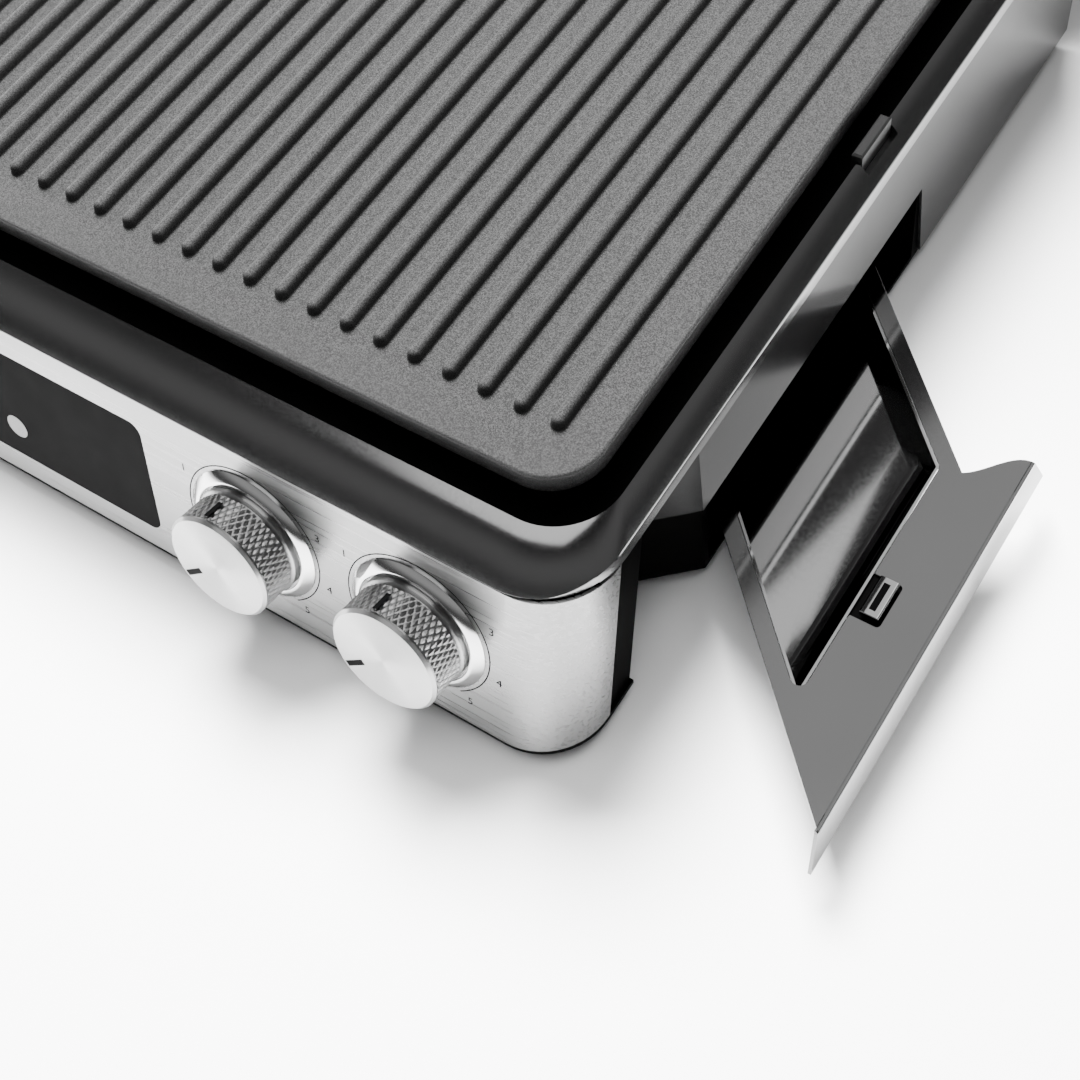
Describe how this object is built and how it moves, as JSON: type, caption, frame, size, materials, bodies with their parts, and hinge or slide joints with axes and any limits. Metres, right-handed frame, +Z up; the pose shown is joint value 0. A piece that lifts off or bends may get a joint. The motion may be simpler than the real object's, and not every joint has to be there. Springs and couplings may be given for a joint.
{
  "type": "contact grill",
  "caption": "Countertop contact grill that opens flat, with ribbed plates, a leaning control fascia, slanting pull-out drip trays and a floating lid hinge.",
  "frame": {"origin": "centre of the footprint of the open grill, on the worktop", "axes": "+X to the right of the control panel, +Y from the panel to the back, +Z up"},
  "size_m": [0.5672, 0.675, 0.1168],
  "materials": {
    "brushed_steel": "fine lengthwise brushing",
    "polished_steel": "polished with a soft haze",
    "tray_steel": "satin rolled sheet",
    "bin_steel": "smooth drawn sheet",
    "knob_metal": "spun face and diamond knurl",
    "spindle_steel": "turned",
    "nonstick": "speckled non-stick coating",
    "black_enamel": "black enamel",
    "bright_foil": "bright rolled sheet",
    "element_metal": "sheathed heating tube",
    "dark_window": "smoked gloss",
    "black_plastic": "fine moulded texture",
    "circuit_board": "green lacquer",
    "rubber": "matte rubber",
    "screw_steel": "zinc plated"
  },
  "bodies": {
    "base": {"base_pan": "black_plastic", "base_screws": "screw_steel", "control_board": "circuit_board", "control_housing": "black_plastic", "display_module": "circuit_board", "display_window": "dark_window", "front_feet": "rubber", "front_panel": "brushed_steel", "hinge_tower_left": "black_plastic", "hinge_tower_right": "black_plastic", "lead_gland": "black_plastic", "lower_element": "element_metal", "lower_plate": "nonstick", "lower_plate_regulator": "black_plastic", "lower_plate_ring": "knob_metal", "lower_reflector": "bright_foil", "lower_sensor": "element_metal", "plate_well": "black_enamel", "rear_cover": "black_plastic", "rear_feet": "rubber", "side_cover_left": "brushed_steel", "side_cover_right": "brushed_steel", "timer_regulator": "black_plastic", "timer_ring": "knob_metal", "top_frame": "polished_steel", "tray_rails_left": "black_plastic", "tray_rails_right": "black_plastic", "upper_plate_regulator": "black_plastic", "upper_plate_ring": "knob_metal"},
    "knob_upper_plate": {"upper_plate_knob": "knob_metal", "upper_plate_spindle": "spindle_steel"},
    "knob_lower_plate": {"lower_plate_knob": "knob_metal", "lower_plate_spindle": "spindle_steel"},
    "knob_timer": {"timer_knob": "knob_metal", "timer_spindle": "spindle_steel"},
    "start_button": {"start_button": "knob_metal"},
    "release_left": {"lower_release_left": "black_plastic"},
    "release_right": {"lower_release_right": "black_plastic"},
    "tray_left": {"drip_tray_left": "tray_steel", "grease_bin_left": "bin_steel"},
    "tray_right": {"drip_tray_right": "tray_steel", "grease_bin_right": "bin_steel"},
    "hinge_rod": {"hinge_rod": "polished_steel"},
    "lid": {"lid_shell": "brushed_steel", "lid_rim": "polished_steel", "upper_well": "black_enamel", "upper_reflector": "bright_foil", "upper_element": "element_metal", "upper_sensor": "element_metal", "upper_plate": "nonstick", "handle_bar": "polished_steel", "handle_caps": "black_plastic", "handle_brackets": "black_plastic", "lid_feet": "rubber", "lid_arm_left": "polished_steel", "lid_arm_right": "polished_steel"},
    "release_upper": {"upper_release": "black_plastic"},
    "lid_lock": {"lid_lock_button": "black_plastic"}
  },
  "joints": [
    {"name": "knob_upper_plate_turn", "type": "hinge", "parent": "base", "child": "knob_upper_plate", "pos_m": [0.097, -0.31712, 0.04043], "axis": [0, 0.9681, -0.2504], "range_deg": [0, 250]},
    {"name": "knob_lower_plate_turn", "type": "hinge", "parent": "base", "child": "knob_lower_plate", "pos_m": [0.158, -0.31712, 0.04043], "axis": [0, 0.9681, -0.2504], "range_deg": [0, 250]},
    {"name": "knob_timer_turn", "type": "hinge", "parent": "base", "child": "knob_timer", "pos_m": [-0.097, -0.31712, 0.04043], "axis": [0, 0.9681, -0.2504], "range_deg": [0, 250]},
    {"name": "start_press", "type": "slide", "parent": "base", "child": "start_button", "axis": [0, 0.9681, -0.2504], "range_m": [0, 0.002], "stiffness_N_per_m": 400, "springref_m": -0.001},
    {"name": "release_left_push", "type": "slide", "parent": "base", "child": "release_left", "axis": [-1, 0, 0], "range_m": [0, 0.002], "stiffness_N_per_m": 500, "springref_m": -0.001},
    {"name": "release_right_push", "type": "slide", "parent": "base", "child": "release_right", "axis": [1, 0, 0], "range_m": [0, 0.002], "stiffness_N_per_m": 500, "springref_m": -0.001},
    {"name": "tray_left_slide", "type": "slide", "parent": "base", "child": "tray_left", "axis": [-0.7071, -0.7071, 0], "range_m": [-0.09617, 0.03]},
    {"name": "tray_right_slide", "type": "slide", "parent": "base", "child": "tray_right", "axis": [0.7071, -0.7071, 0], "range_m": [-0.09617, 0.03]},
    {"name": "hinge_float", "type": "slide", "parent": "base", "child": "hinge_rod", "axis": [0, 0, 1], "range_m": [0, 0.012]},
    {"name": "lid_hinge", "type": "hinge", "parent": "hinge_rod", "child": "lid", "pos_m": [0, 0.00249, 0.09775], "axis": [1, 0, 0], "range_deg": [0, 180]},
    {"name": "release_upper_push", "type": "slide", "parent": "lid", "child": "release_upper", "axis": [0, 1, 0], "range_m": [0, 0.002], "stiffness_N_per_m": 500, "springref_m": -0.001},
    {"name": "lid_lock_press", "type": "slide", "parent": "base", "child": "lid_lock", "axis": [-1, 0, 0], "range_m": [0, 0.002], "stiffness_N_per_m": 500, "springref_m": -0.001}
  ]
}
